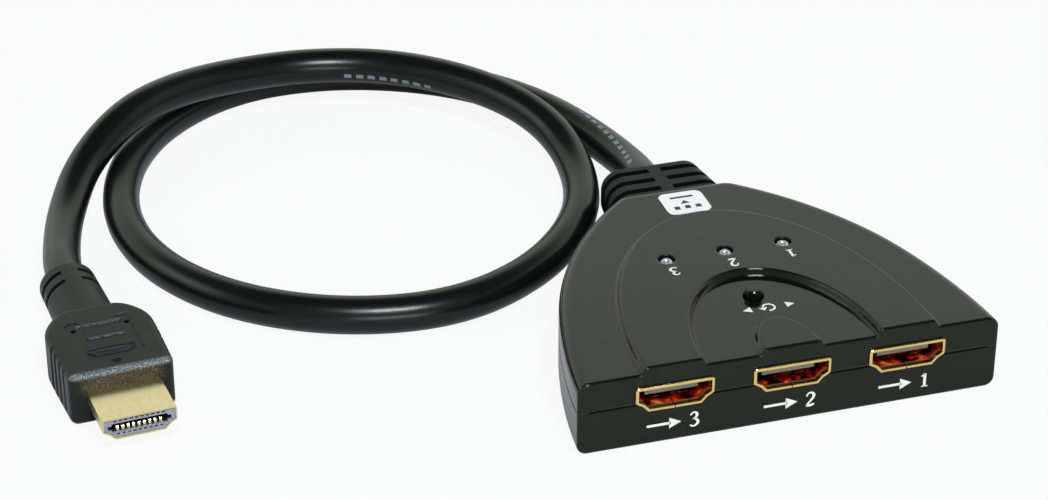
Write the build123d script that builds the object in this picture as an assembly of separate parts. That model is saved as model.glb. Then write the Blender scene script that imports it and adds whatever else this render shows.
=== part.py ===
from build123d import *
import math
import os

os.makedirs("parts", exist_ok=True)

# Sizes are in millimetres.
# While building, y runs back from the front face, x = 0 is the middle and z = 0 is the table.

# Case
HALF_WIDTH = 41.0
DEPTH = 65.0
LEVEL_A = 14.9
LEVEL_B = 16.35
LEVEL_C = 14.95
LEVEL_D = 16.1
SEAM_Z = 8.65
WALL = 2.0
TOP_EDGE_RADIUS = 2.3
BOTTOM_EDGE_RADIUS = 1.9
FRONT_EDGE_RADIUS = 0.45
BACK_CORNER_RADIUS = 4.5
LIP_INSET = 1.0
LIP_HEIGHT = 1.4
LIP_ROOT = 1.5
LIP_GAP = 0.1
GROOVE_HEIGHT = 0.3
GROOVE_DEPTH = 0.4
GROOVE_END_X = 38.9
GROOVE_END_Y = 0.9

# Half-width as a share of HALF_WIDTH, and distance back as a share of DEPTH
SIDE_SHAPE = [
    (1.0, 0.0),
    (0.963, 0.185),
    (0.91, 0.338),
    (0.824, 0.515),
    (0.695, 0.685),
    (0.498, 0.862),
    (0.278, 1.0),
]
SIDE_SAMPLES = 8

# Terraces, each half an ellipse: half-width and depth at the foot of its slope, and the slope's run
TERRACE_B = (29.1, 52.6, 1.2)
TERRACE_C = (16.5, 27.3, 0.9)
TERRACE_D = (6.35, 11.5, 1.1)
SLOPE_STEPS = 3

# Board
BOARD_TOP = 7.47
BOARD_THICK = 1.2
BOARD_INSET = 0.6
BOARD_FRONT = WALL + BOARD_INSET
BOARD_BACK = DEPTH - 10.0
BOARD_BOTTOM = BOARD_TOP - BOARD_THICK

# Screws and bosses: x, y and the lid's level over each
SCREW_X = HALF_WIDTH - 14.5
SCREWS = [(-SCREW_X, 25.5, LEVEL_A), (SCREW_X, 25.5, LEVEL_A), (0.0, DEPTH - 19.0, LEVEL_B)]
SCREW_RADIUS = 0.95
SCREW_HEAD_RADIUS = 1.9
SCREW_HEAD_HEIGHT = 1.3
SCREW_SLOT = (2.2, 0.5, 1.2)
SCREW_SEAT_Z = WALL + 0.9
SCREW_TOP = LEVEL_A - 2.7
BOSS_RADIUS = 2.9
PILOT_GAP = 0.05
BORE_GAP = 0.25

# Sockets
SOCKET_PITCH = 22.6
SOCKET_LIP_WIDTH = 15.05
SOCKET_LIP_HEIGHT = 5.2
SOCKET_FLAT = 10.2
SHOULDER_SHARE = 0.4
LEDGE_RUN = 1.25
LEDGE_DROP = 0.72
SOCKET_LIP = 0.24
SOCKET_PROUD = 0.5
SOCKET_LENGTH = 11.4
SOCKET_SHEET = 0.3
SOCKET_GAP = 0.15
SOCKET_CORNER = 0.4
LIP_BACK_GAP = 0.05
TONGUE_THICK = 1.2
TONGUE_WIDTH = 10.4
LEG_THICK = 0.3
LEG_LENGTH = 1.5
LEG_GAP = 0.2
CONTACT_WIDTH = 0.34
CONTACT_THICK = 0.14
CONTACT_PITCH = 1.0

# Select switch
BUTTON_Y = 20.2
BUTTON_RADIUS = 1.65
BUTTON_HOLE_RADIUS = BUTTON_RADIUS + 0.35
BUTTON_TOP = LEVEL_C + 1.75
BUTTON_TRAVEL = 0.25
RUNNING_GAP = 0.05
SWITCH_SIZE = 6.0
SWITCH_HEIGHT = 3.2

# Indicator lamps
LAMP_Y = 35.5
LAMP_PITCH = 11.8
LAMP_RADIUS = 1.5
LAMP_HOLE_RADIUS = LAMP_RADIUS + 0.2
LAMP_TOP = LEVEL_B + 0.1
LAMP_LENGTH = 5.3
LAMP_FLANGE = LAMP_RADIUS + 0.45

# Cable
CABLE_RADIUS = 3.75
CABLE_START = -2.5
CORE_STEP = (CABLE_RADIUS - 0.75) / 2
CORE_RADIUS = CORE_STEP / 1.5
CORE_BORE_RADIUS = CABLE_RADIUS - 0.55
PRESS = 0.02

# Strain relief
RELIEF_Z = 7.3
RELIEF_LENGTH = 14.0
RELIEF_FRONT_SIZE = (25.0, 11.6)
RELIEF_BACK_SIZE = (21.0, 10.8)
RELIEF_SLOTS = 3
RELIEF_SLOT_WIDTH = 1.7
RELIEF_SLOT_PITCH = 3.9
RELIEF_GAP = 0.05
NECK_SIZE = (2 * CABLE_RADIUS + 4.5, 2 * CABLE_RADIUS + 2.7)
NECK_CORNER = 2.4
NECK_GAP = 0.15
FLANGE_SIZE = (NECK_SIZE[0] + 3.0, 2 * (RELIEF_Z - WALL - 0.1))
FLANGE_THICK = 1.6

# Plug: its axis lies flat, turned a little from the y direction
PLUG_FRONT = (-115.5, -39.9)
PLUG_YAW = 0.08
PLUG_SHELL_SIZE = (13.9, 4.45, 9.2)
PLUG_SHEET = 0.3
SHELL_CORNER = 0.35
GRIP_WIDTH = 20.6
GRIP_HEIGHT = 10.6
GRIP_FRONT = 11.4
GRIP_END = 35.0
GRIP_EDGE_RADIUS = 1.3
GRIP_GROOVES = 4
GRIP_GROOVE_START = GRIP_FRONT + 4.0
GRIP_GROOVE_PITCH = 2.75
COLLAR_END = 54.0
COLLAR_SIZE = (11.6, 10.4)
COLLAR_GROOVES = (COLLAR_END - 7.8, COLLAR_END - 4.4)
CABLE_DEPTH = 10.0
PLUG_Z = GRIP_HEIGHT / 2

# The origin of the part is on its base, midway between front and back.
ORIGIN_Y = DEPTH / 2


def save(name, shape):
    moved = Pos(0, -ORIGIN_Y, 0) * shape
    moved.label = name
    export_step(moved, f"parts/{name}.step")


def block(x0, x1, y0, y1, z0, z1):
    return Pos((x0 + x1) / 2, (y0 + y1) / 2, (z0 + z1) / 2) * Box(x1 - x0, y1 - y0, z1 - z0)


def rod(x, y, z0, z1, radius):
    return Pos(x, y, (z0 + z1) / 2) * Cylinder(radius, z1 - z0)


def square_pin(x, y, z0, z1, width):
    return block(x - width / 2, x + width / 2, y - width / 2, y + width / 2, z0, z1)


def edges_at(shape, test):
    return [e for e in shape.edges() if test(e)]


# Case outline


def plan(inset=0.0):
    """Gives the case's outline seen from above, drawn in by the inset."""
    side = Spline(*[(x * HALF_WIDTH, y * DEPTH) for x, y in SIDE_SHAPE])
    right = []
    for i in range(SIDE_SAMPLES + 1):
        point = side @ (i / SIDE_SAMPLES)
        ahead = side % (i / SIDE_SAMPLES)
        right.append((point.X - ahead.Y * inset, point.Y + ahead.X * inset))
    left = [(-x, y) for x, y in reversed(right)]
    outline = Spline(*right) + Line(right[-1], left[0]) + Spline(*left) + Line(left[-1], right[0])
    face = make_face(outline)
    if inset:
        face = face & (Pos(0, DEPTH / 2) * Rectangle(4 * HALF_WIDTH, DEPTH - 2 * inset))
    back = [v for v in face.vertices() if v.Y > DEPTH - inset - 0.01]
    return fillet(back, BACK_CORNER_RADIUS - inset)


def slab(inset, z0, z1):
    return Pos(0, 0, z0) * extrude(plan(inset), amount=z1 - z0)


def half_ellipse(half_width, depth, z0, z1):
    solid = extrude(Plane.XY.offset(z0) * Ellipse(half_width, depth), amount=z1 - z0)
    return solid & block(-60, 60, 0, 80, z0 - 1, z1 + 1)


def slope(half_width, depth, z0, z1, run):
    """Gives a half ellipse that draws in by the run as it rises, along a smooth S-shaped slope."""
    sections = []
    for i in range(SLOPE_STEPS + 1):
        share = i / SLOPE_STEPS
        z = z0 + (z1 - z0) * (1 - math.cos(math.pi * share)) / 2
        sections.append(Plane.XY.offset(z) * Ellipse(half_width - run * share, depth - run * share))
    return loft(sections) & block(-60, 60, 0, 80, z0 - 1, z1 + 1)


def terrace(shape, foot, top):
    """Gives one raised level: a straight core below its foot and a slope above it."""
    half_width, depth, run = shape
    return half_ellipse(half_width, depth, SEAM_Z, foot) + slope(half_width, depth, foot, top, run)


def well(shape, floor, top):
    """Gives the space of one sunk level, which widens along its slope."""
    half_width, depth, run = shape
    above = half_ellipse(half_width + run, depth + run, top, top + 2)
    return slope(half_width, depth, floor, top, -run) + above


def case_body():
    body = slab(0, 0, LEVEL_A)
    top = edges_at(body, lambda e: abs(e.center().Z - LEVEL_A) < 0.01 and e.center().Y > 1)
    body = fillet(top, TOP_EDGE_RADIUS)
    bottom = edges_at(body, lambda e: abs(e.center().Z) < 0.01 and e.center().Y > 1)
    body = fillet(bottom, BOTTOM_EDGE_RADIUS)
    body = body + terrace(TERRACE_B, LEVEL_A, LEVEL_B)
    body = body - well(TERRACE_C, LEVEL_C, LEVEL_B)
    body = body + terrace(TERRACE_D, LEVEL_C, LEVEL_D)
    front = edges_at(body, lambda e: abs(e.center().Y) < 0.01)
    return fillet(front, FRONT_EDGE_RADIUS)


def connector_bar(size, z0, y0, y1, grow=0.0, corner=0.0):
    """Gives a bar with a socket's or plug's outline, wide at the top and stepped below, grown all round."""
    width, height, flat = size
    half = width / 2
    shoulder = z0 + height * SHOULDER_SHARE
    points = [
        (half, z0 + height),
        (-half, z0 + height),
        (-half, shoulder),
        (-half + LEDGE_RUN, shoulder - LEDGE_DROP),
        (-flat / 2, z0),
        (flat / 2, z0),
        (half - LEDGE_RUN, shoulder - LEDGE_DROP),
        (half, shoulder),
    ]
    face = make_face(Polyline(*points, close=True))
    if grow:
        face = offset(face, amount=grow, kind=Kind.INTERSECTION)
    plane = Plane((0, y1, 0), x_dir=(1, 0, 0), z_dir=(0, -1, 0))
    solid = extrude(plane * face, amount=y1 - y0)
    if corner:
        outer = edges_at(solid, lambda e: abs(e.tangent_at(0.5).Y) > 0.99 and abs(e.center().X) > half - 0.3)
        solid = fillet(outer, corner)
    return solid


SOCKET_BODY_WIDTH = SOCKET_LIP_WIDTH - 2 * SOCKET_LIP
SOCKET_BODY_HEIGHT = SOCKET_LIP_HEIGHT - 2 * SOCKET_LIP
SOCKET_SIZE = (SOCKET_BODY_WIDTH, SOCKET_BODY_HEIGHT, SOCKET_FLAT - SOCKET_LIP)
SOCKET_XS = [SOCKET_PITCH, 0.0, -SOCKET_PITCH]
LAMP_XS = [LAMP_PITCH, 0.0, -LAMP_PITCH]


def cavity():
    inner = slab(WALL, WALL, LEVEL_A - WALL)
    inset = TERRACE_B[2] + WALL
    ring = half_ellipse(TERRACE_B[0] - inset, TERRACE_B[1] - inset, LEVEL_A - WALL, LEVEL_B - WALL)
    reach = TERRACE_C[2] + WALL
    core = half_ellipse(TERRACE_C[0] + reach, TERRACE_C[1] + reach, 0, LEVEL_B)
    hollow = (ring - core) & block(-60, 60, WALL, DEPTH, 0, LEVEL_B)
    return inner + hollow


def front_openings():
    tool = connector_bar(SOCKET_SIZE, BOARD_TOP, -2, WALL + 1, SOCKET_GAP, SOCKET_CORNER)
    return [Pos(x, 0, 0) * tool for x in SOCKET_XS]


def rounded_bar(size, radius, z_mid, y0, y1):
    plane = Plane((0, y1, z_mid), x_dir=(1, 0, 0), z_dir=(0, -1, 0))
    return extrude(plane * RectangleRounded(size[0], size[1], radius), amount=y1 - y0)


def neck_opening():
    size = (NECK_SIZE[0] + 2 * NECK_GAP, NECK_SIZE[1] + 2 * NECK_GAP)
    return rounded_bar(size, NECK_CORNER + 0.1, RELIEF_Z, DEPTH - WALL - 1.5, DEPTH + 1)


def groove():
    """Gives the space of the seam groove, which stops short of the two front corners."""
    band = block(-60, 60, -5, 90, SEAM_Z, SEAM_Z + GROOVE_HEIGHT) - slab(GROOVE_DEPTH, 0, 20)
    for side in (-1, 1):
        x0 = min(side * GROOVE_END_X, side * 60)
        x1 = max(side * GROOVE_END_X, side * 60)
        band = band - block(x0, x1, -5, GROOVE_END_Y, 0, 20)
    return band


def shells():
    body = case_body()
    hollow = cavity()
    upper_half = block(-60, 60, -5, 90, SEAM_Z, 30)
    lower_half = block(-60, 60, -5, 90, -1, SEAM_Z)
    lip = slab(LIP_INSET + LIP_GAP, SEAM_Z - LIP_ROOT, SEAM_Z + LIP_HEIGHT - LIP_GAP) - slab(WALL, 0, 20)
    lip_seat = slab(LIP_INSET, SEAM_Z, SEAM_Z + LIP_HEIGHT)

    top = (body & upper_half) - hollow - lip_seat - groove()
    bottom = (body & lower_half) - hollow + lip

    for x, y, level in SCREWS:
        top = top + rod(x, y, BOARD_TOP, level - WALL + 0.1, BOSS_RADIUS - 0.3)
        top = top - rod(x, y, BOARD_TOP - 1, SCREW_TOP + 0.4, SCREW_RADIUS + PILOT_GAP)
        bottom = bottom + rod(x, y, WALL - 0.5, BOARD_BOTTOM, BOSS_RADIUS)
        bottom = bottom - rod(x, y, -1, SCREW_SEAT_Z, SCREW_HEAD_RADIUS + BORE_GAP)
        bottom = bottom - rod(x, y, -1, 10, SCREW_RADIUS + BORE_GAP)

    for x in LAMP_XS:
        top = top - rod(x, LAMP_Y, LEVEL_A - WALL - 1, 20, LAMP_HOLE_RADIUS)
    top = top - rod(0, BUTTON_Y, LEVEL_A - WALL - 1, 20, BUTTON_HOLE_RADIUS)

    for tool in front_openings() + [neck_opening()]:
        top = top - tool
        bottom = bottom - tool
    return top, bottom


# Board


def board():
    flat = slab(WALL + BOARD_INSET, BOARD_BOTTOM, BOARD_TOP)
    flat = flat & block(-60, 60, BOARD_FRONT, BOARD_BACK, 0, 20)
    for x, y, _ in SCREWS:
        flat = flat - rod(x, y, 0, 20, SCREW_RADIUS + BORE_GAP)
    for x in SOCKET_XS:
        for side in (-1, 1):
            for y in LEG_YS:
                leg_x = x + side * LEG_X
                half_x = LEG_THICK / 2 + LEG_GAP
                half_y = LEG_LENGTH / 2 + LEG_GAP
                flat = flat - block(leg_x - half_x, leg_x + half_x, y - half_y, y + half_y, 0, 20)
    for x in LAMP_XS:
        for side in (-1, 1):
            flat = flat - square_pin(x + side * LEAD_X, LAMP_Y, 0, 20, LEAD_WIDTH + 0.35)
    for x in (-TERMINAL_X, TERMINAL_X):
        for y in (-TERMINAL_Y, TERMINAL_Y):
            flat = flat - square_pin(x, BUTTON_Y + y, 0, 20, TERMINAL_WIDTH + 0.4)
    return flat


def screws():
    group = []
    for x, y, _ in SCREWS:
        head = rod(x, y, SCREW_SEAT_Z - SCREW_HEAD_HEIGHT, SCREW_SEAT_Z, SCREW_HEAD_RADIUS)
        slot_z = SCREW_SEAT_Z - SCREW_HEAD_HEIGHT
        for turn in (0, 90):
            head = head - Pos(x, y, slot_z) * (Rot(0, 0, turn) * Box(*SCREW_SLOT))
        shank = rod(x, y, SCREW_SEAT_Z, SCREW_TOP, SCREW_RADIUS)
        group.append(head + shank)
    return group


# Sockets

LEG_X = SOCKET_BODY_WIDTH / 2 - 0.2
LEG_YS = (4.6, SOCKET_LENGTH - 2.2)
TONGUE_Z = BOARD_TOP + SOCKET_BODY_HEIGHT * 0.51
TONGUE_FRONT = 1.9
BLOCK_FRONT = SOCKET_LENGTH - 3.2
CONTACT_FRONT = TONGUE_FRONT + 0.6
TAB_X = 2.7
TAB_WIDTH = 1.6
TAB_START = 2.8
TAB_THICK = 0.22
TAB_TILT = 6.0
FOLD_GAP = 0.2
INSULATOR_BACK = SOCKET_LENGTH + 0.3


def spring_tab(x, z, inward):
    """Gives one tongue of sheet, bent from its window into the socket, which presses on a plug's shell."""
    length = BLOCK_FRONT - TAB_START
    middle = Pos(x, TAB_START + length / 2, z + inward * 0.42)
    strip = middle * (Rot(-inward * TAB_TILT, 0, 0) * Box(TAB_WIDTH, length + 0.5, TAB_THICK))
    low = z if inward > 0 else z - 1.2
    return strip & block(x - 2, x + 2, TAB_START, BLOCK_FRONT, low, low + 1.2)


def socket_shell():
    floor = BOARD_TOP
    roof = BOARD_TOP + SOCKET_BODY_HEIGHT
    body = connector_bar(SOCKET_SIZE, floor, -SOCKET_PROUD, SOCKET_LENGTH, 0, SOCKET_CORNER)
    lip_corner = SOCKET_CORNER + SOCKET_LIP
    lip = connector_bar(SOCKET_SIZE, floor, -SOCKET_PROUD, -LIP_BACK_GAP, SOCKET_LIP, lip_corner)
    lip = chamfer(edges_at(lip, lambda e: abs(e.center().Y + SOCKET_PROUD) < 0.01), 0.1)
    bore = connector_bar(SOCKET_SIZE, floor, -2, SOCKET_LENGTH + 1, -SOCKET_SHEET)
    shell = body + lip - bore
    shell = shell - block(-FOLD_GAP / 2, FOLD_GAP / 2, -2, BLOCK_FRONT, floor - 1, floor + 1)
    half = TAB_WIDTH / 2 + 0.3
    for z, inward in ((floor, 1), (roof, -1)):
        for x in (-TAB_X, TAB_X):
            shell = shell - block(x - half, x + half, TAB_START - 0.2, BLOCK_FRONT - 0.2, z - 0.8, z + 0.8)
            shell = shell + spring_tab(x, z, inward)
    half_x = LEG_THICK / 2
    half_y = LEG_LENGTH / 2
    for x in (-LEG_X, LEG_X):
        for y in LEG_YS:
            leg = block(x - half_x, x + half_x, y - half_y, y + half_y, BOARD_BOTTOM - 0.8, floor + 2.6)
            shell = shell + leg
    return shell


def contact_solids(top_row):
    """Gives one row of contacts: a blade on the tongue, and behind the block a tail down to the board."""
    count = 10 if top_row else 9
    if top_row:
        z0 = TONGUE_Z + TONGUE_THICK / 2
        tail = 0.9
    else:
        z0 = TONGUE_Z - TONGUE_THICK / 2 - CONTACT_THICK
        tail = 0.35
    group = []
    for i in range(count):
        x = (i - (count - 1) / 2) * CONTACT_PITCH
        x0 = x - CONTACT_WIDTH / 2
        x1 = x + CONTACT_WIDTH / 2
        group.append(block(x0, x1, CONTACT_FRONT, BLOCK_FRONT, z0, z0 + CONTACT_THICK))
        group.append(block(x0, x1, INSULATOR_BACK, INSULATOR_BACK + tail, BOARD_TOP, z0 + CONTACT_THICK))
    return group


def socket_insulator():
    bar = connector_bar(SOCKET_SIZE, BOARD_TOP, BLOCK_FRONT, INSULATOR_BACK, -SOCKET_SHEET - 0.05)
    half = TONGUE_WIDTH / 2
    rise = TONGUE_THICK / 2
    tongue = block(-half, half, TONGUE_FRONT, BLOCK_FRONT + 0.5, TONGUE_Z - rise, TONGUE_Z + rise)
    front = edges_at(tongue, lambda e: e.center().Y < TONGUE_FRONT + 0.01)
    nose = [e for e in front if abs(e.center().Z - TONGUE_Z) > 0.1]
    tongue = chamfer(nose, TONGUE_THICK / 4)
    return bar + tongue


# Select switch, standing on the board

TERMINAL_X = 3.25
TERMINAL_Y = 2.25
TERMINAL_WIDTH = 0.7
TERMINAL_THICK = 0.24
SWITCH_TOP = BOARD_TOP + SWITCH_HEIGHT
COVER_THICK = 0.25
COVER_TAB_THICK = 0.22
PIT_Z = BOARD_TOP + 0.9
DOME_HEIGHT = 0.6
STEM_FLANGE_RADIUS = BUTTON_RADIUS + 0.6
DOME_RADIUS = STEM_FLANGE_RADIUS - 0.05
DOME_THICK = 0.1
FLANGE_BOTTOM = PIT_Z + DOME_HEIGHT + BUTTON_TRAVEL + 0.25


def switch_terminal(side, y):
    """Gives one bent pin: down through the board, and inwards into the switch's body."""
    half = TERMINAL_WIDTH / 2
    x = side * TERMINAL_X
    inner_x = side * (SWITCH_SIZE / 2 - 0.4)
    bend = BOARD_TOP + 1.2
    pin = block(x - TERMINAL_THICK / 2, x + TERMINAL_THICK / 2, y - half, y + half, BOARD_BOTTOM - 1.2, bend)
    arm = block(min(x, inner_x), max(x, inner_x), y - half, y + half, bend - TERMINAL_THICK, bend)
    return pin + arm


def select_switch():
    half = SWITCH_SIZE / 2
    plate = block(-half, half, BUTTON_Y - half, BUTTON_Y + half, 0, 1)
    plate = fillet(edges_at(plate, lambda e: abs(e.tangent_at(0.5).Z) > 0.99), 0.5)
    outline = plate.faces().sort_by(Axis.Z)[-1]
    base = Pos(0, 0, BOARD_TOP - 1) * extrude(outline, amount=SWITCH_HEIGHT)
    base = base - rod(0, BUTTON_Y, PIT_Z, 20, STEM_FLANGE_RADIUS + 0.15)
    terminals = [switch_terminal(side, BUTTON_Y + y) for side in (-1, 1) for y in (-TERMINAL_Y, TERMINAL_Y)]
    for pin in terminals:
        base = base - pin
    cover = Pos(0, 0, SWITCH_TOP - 1) * extrude(outline, amount=COVER_THICK)
    cover = cover - rod(0, BUTTON_Y, 0, 20, BUTTON_RADIUS + RUNNING_GAP)
    for side in (-1, 1):
        y = BUTTON_Y + side * (half + COVER_TAB_THICK / 2)
        rise = COVER_TAB_THICK / 2
        tab = block(-1.2, 1.2, -rise, rise, PIT_Z, SWITCH_TOP + COVER_THICK)
        cover = cover + Pos(0, y, 0) * tab
    return base, cover, terminals


def button_stem():
    shaft = rod(0, BUTTON_Y, FLANGE_BOTTOM, BUTTON_TOP, BUTTON_RADIUS)
    shaft = chamfer(edges_at(shaft, lambda e: abs(e.center().Z - BUTTON_TOP) < 0.01), 0.25)
    flange = rod(0, BUTTON_Y, FLANGE_BOTTOM, SWITCH_TOP - 0.03, STEM_FLANGE_RADIUS)
    nub = rod(0, BUTTON_Y, PIT_Z + DOME_HEIGHT + 0.02, FLANGE_BOTTOM + 0.1, 0.8)
    return shaft + flange + nub


def snap_dome():
    """Gives the spherical cap under the stem that snaps down and springs back."""
    sphere_radius = (DOME_RADIUS ** 2 + DOME_HEIGHT ** 2) / (2 * DOME_HEIGHT)
    centre = (0, BUTTON_Y, PIT_Z + DOME_HEIGHT - sphere_radius)
    cap = Pos(*centre) * (Sphere(sphere_radius) - Sphere(sphere_radius - DOME_THICK))
    return cap & block(-4, 4, BUTTON_Y - 4, BUTTON_Y + 4, PIT_Z, PIT_Z + 2)


# Indicator lamps

LEAD_X = 1.27
LEAD_WIDTH = 0.45
LAMP_BOTTOM = LAMP_TOP - LAMP_LENGTH


def lamp_leads(x):
    z0 = BOARD_BOTTOM - 0.9
    z1 = LAMP_BOTTOM + 1.2
    return [square_pin(x + side * LEAD_X, LAMP_Y, z0, z1, LEAD_WIDTH) for side in (-1, 1)]


def lamp(x):
    tube = rod(x, LAMP_Y, LAMP_BOTTOM, LAMP_TOP - LAMP_RADIUS, LAMP_RADIUS)
    dome = Pos(x, LAMP_Y, LAMP_TOP - LAMP_RADIUS) * Sphere(LAMP_RADIUS)
    flange = rod(x, LAMP_Y, LAMP_BOTTOM, LAMP_BOTTOM + 1.0, LAMP_FLANGE)
    body = tube + dome + flange
    for lead in lamp_leads(x):
        body = body - lead
    return body


def lamp_spacer(x):
    tube = rod(x, LAMP_Y, BOARD_TOP, LAMP_BOTTOM, LAMP_FLANGE)
    for side in (-1, 1):
        tube = tube - square_pin(x + side * LEAD_X, LAMP_Y, 0, 20, LEAD_WIDTH + 0.2)
    return tube


# Chips and small parts on the board


SIGNAL_CHIP_AT = (-13.0, 23.8)
SIGNAL_CHIP_SIZE = 9.0
CONTROL_CHIP_AT = (13.5, 24.0)
CONTROL_CHIP_SIZE = (6.0, 3.9)
REGULATOR_AT = (10.0, 43.5)
CAPACITORS_AT = [
    (-20.5, 17.0),
    (-20.5, 31.5),
    (-8.0, 31.6),
    (5.0, 27.5),
    (20.0, 31.0),
    (15.5, 43.5),
    (5.2, 43.5),
    (-24.0, 37.5),
]
RESISTOR_STEPS = (-4.5, -1.5, 1.5, 4.5)
RESISTOR_XS = [x + step for x in SOCKET_XS for step in RESISTOR_STEPS if abs(x + step) > 3]
RESISTORS_AT = [(x, SOCKET_LENGTH + 3.8) for x in RESISTOR_XS]


def on_board(x, y, size_x, size_y, z0, z1):
    """Gives a block that stands on the board, or at a height above it, centred on x and y."""
    return Pos(x, y, BOARD_TOP + (z0 + z1) / 2) * Box(size_x, size_y, z1 - z0)


def chip(x, y, size_x, size_y, height):
    """Gives a chip's moulded body, with bevelled top edges and the dimple that marks its first lead."""
    solid = on_board(x, y, size_x, size_y, 0.12, height)
    solid = chamfer(edges_at(solid, lambda e: abs(e.center().Z - BOARD_TOP - height) < 0.01), 0.12)
    return solid - rod(x - size_x / 2 + 1.0, y - size_y / 2 + 1.0, BOARD_TOP + height - 0.1, 20, 0.35)


def chip_leads(x, y, half_body, half_run, count, pitch, along_y):
    """Gives a row of leads on two opposite sides of a chip."""
    group = []
    for side in (-1, 1):
        for i in range(count):
            step = (i - (count - 1) / 2) * pitch
            turn = (0 if side > 0 else 180) + (90 if along_y else 0)
            shift = (step, 0) if along_y else (0, step)
            lead = block(half_body, half_run, -0.15, 0.15, BOARD_TOP, BOARD_TOP + 0.6)
            group.append(Pos(x + shift[0], y + shift[1], 0) * (Rot(0, 0, turn) * lead))
    return group


# Strain relief


def strain_relief():
    relief_back = DEPTH + RELIEF_LENGTH
    front = Plane((0, DEPTH + RELIEF_GAP, RELIEF_Z), x_dir=(1, 0, 0), z_dir=(0, -1, 0))
    back = Plane((0, relief_back, RELIEF_Z), x_dir=(1, 0, 0), z_dir=(0, -1, 0))
    body = loft([
        front * RectangleRounded(RELIEF_FRONT_SIZE[0], RELIEF_FRONT_SIZE[1], 4.4),
        back * RectangleRounded(RELIEF_BACK_SIZE[0], RELIEF_BACK_SIZE[1], 4.0),
    ])
    body = fillet(edges_at(body, lambda e: abs(e.center().Y - relief_back) < 0.01), 0.8)
    half_core = RELIEF_BACK_SIZE[0] / 2 - 2.5
    core_rise = RELIEF_BACK_SIZE[1] / 2 - 1.3
    core = block(-half_core, half_core, DEPTH, relief_back, RELIEF_Z - core_rise, RELIEF_Z + core_rise)
    spine = block(-1.3, 1.3, DEPTH, relief_back, 0, 20)
    for i in range(RELIEF_SLOTS):
        y = DEPTH + 2.4 + i * RELIEF_SLOT_PITCH
        slot = block(-20, 20, y, y + RELIEF_SLOT_WIDTH, 0, 20) - core - spine
        body = body - slot
    flange_back = DEPTH - WALL - 0.1
    neck = rounded_bar(NECK_SIZE, NECK_CORNER, RELIEF_Z, flange_back - 0.05, DEPTH + 1)
    flange = rounded_bar(FLANGE_SIZE, 2.6, RELIEF_Z, flange_back - FLANGE_THICK, flange_back)
    bore = Plane((0, 0, RELIEF_Z), x_dir=(1, 0, 0), z_dir=(0, 1, 0)) * Circle(CABLE_RADIUS - PRESS)
    return body + neck + flange - extrude(bore, amount=100)


# Cable


def on_plug(along):
    """Gives the x and y of a point on the plug's axis, so far behind its front."""
    x = PLUG_FRONT[0] - math.sin(PLUG_YAW) * along
    y = PLUG_FRONT[1] + math.cos(PLUG_YAW) * along
    return x, y


# x, distance behind the case's back face, and height
CABLE_POINTS = [
    (0.0, CABLE_START, RELIEF_Z),
    (0.0, 14.5, RELIEF_Z),
    (1.2, 31.5, 4.2),
    (-4.5, 53.0, 3.85),
    (-13.5, 69.5, 3.85),
    (-29.0, 83.3, 3.85),
    (-49.0, 91.0, 3.85),
    (-69.5, 90.2, 3.85),
    (-87.0, 79.5, 3.85),
    (-99.3, 62.0, 3.85),
    (-105.0, 40.0, 3.85),
    (-102.0, 18.0, 3.85),
    (-90.0, -0.5, 3.85),
    (-71.0, -12.3, 3.85),
    (-49.0, -15.2, 3.85),
    (-29.0, -5.5, 3.85),
    (-14.5, 12.5, 3.85),
    (-9.2, 32.0, 4.1),
    (-11.4, 47.0, 7.8),
    (-20.0, 62.0, 9.8),
    (-35.5, 77.3, 9.9),
    (-54.0, 83.8, 9.9),
    (-72.5, 81.0, 11.2),
    (-86.5, 74.5, 12.8),
    (-98.0, 66.5, 12.8),
    (-108.8, 57.5, 7.6),
    (-115.0, 44.0, 3.95),
    (-118.2, 30.5, 3.95),
    (*on_plug(COLLAR_END + 2.5), PLUG_Z),
    (*on_plug(COLLAR_END - CABLE_DEPTH), PLUG_Z),
]


def cable():
    points = [Vector(x, DEPTH + behind, z) for x, behind, z in CABLE_POINTS]
    radii = []
    for a, b, c in zip(points, points[1:], points[2:]):
        before = b - a
        after = c - b
        turn = math.radians(before.get_angle(after))
        radii.append(0.45 * min(before.length, after.length) / math.tan(turn / 2))
    print("cable radii", [round(r, 1) for r in radii])
    path = FilletPolyline(*points, radius=radii)
    start = Plane(points[0], z_dir=(points[1] - points[0]))
    tube = sweep(start * Circle(CABLE_RADIUS), path=path)
    ratio = tube.volume / (math.pi * CABLE_RADIUS ** 2 * path.length)
    print("cable length", round(path.length, 1), "volume ratio", round(ratio, 4))
    return tube


CORE_SPOTS = [
    (-CORE_STEP, -CORE_STEP),
    (-CORE_STEP, CORE_STEP),
    (0.0, 0.0),
    (CORE_STEP, CORE_STEP),
    (CORE_STEP, -CORE_STEP),
]


def board_cores():
    """Gives the cable's inner cores, fanned out from the jacket's end to the board."""
    group = []
    for i, (dx, dz) in enumerate(CORE_SPOTS):
        end_x = (i - 2) * 3.6
        z_end = BOARD_TOP + CORE_RADIUS
        start_y = DEPTH + CABLE_START
        points = [
            (dx, start_y, RELIEF_Z + dz),
            (dx, start_y - 1.0, RELIEF_Z + dz),
            (end_x, BOARD_BACK + 1.6, z_end + 0.5),
            (end_x, BOARD_BACK - 3.2, z_end + 0.05),
        ]
        path = Polyline(*points)
        start = Plane(points[0], z_dir=(0, -1, 0))
        group.append(sweep(start * Circle(CORE_RADIUS), path=path, transition=Transition.RIGHT))
    return group


# Plug, built along y from its front and then turned into place


def place_plug(shape):
    turned = Rot(0, 0, math.degrees(PLUG_YAW)) * shape
    return Pos(PLUG_FRONT[0], DEPTH + PLUG_FRONT[1], 0) * turned


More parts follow.
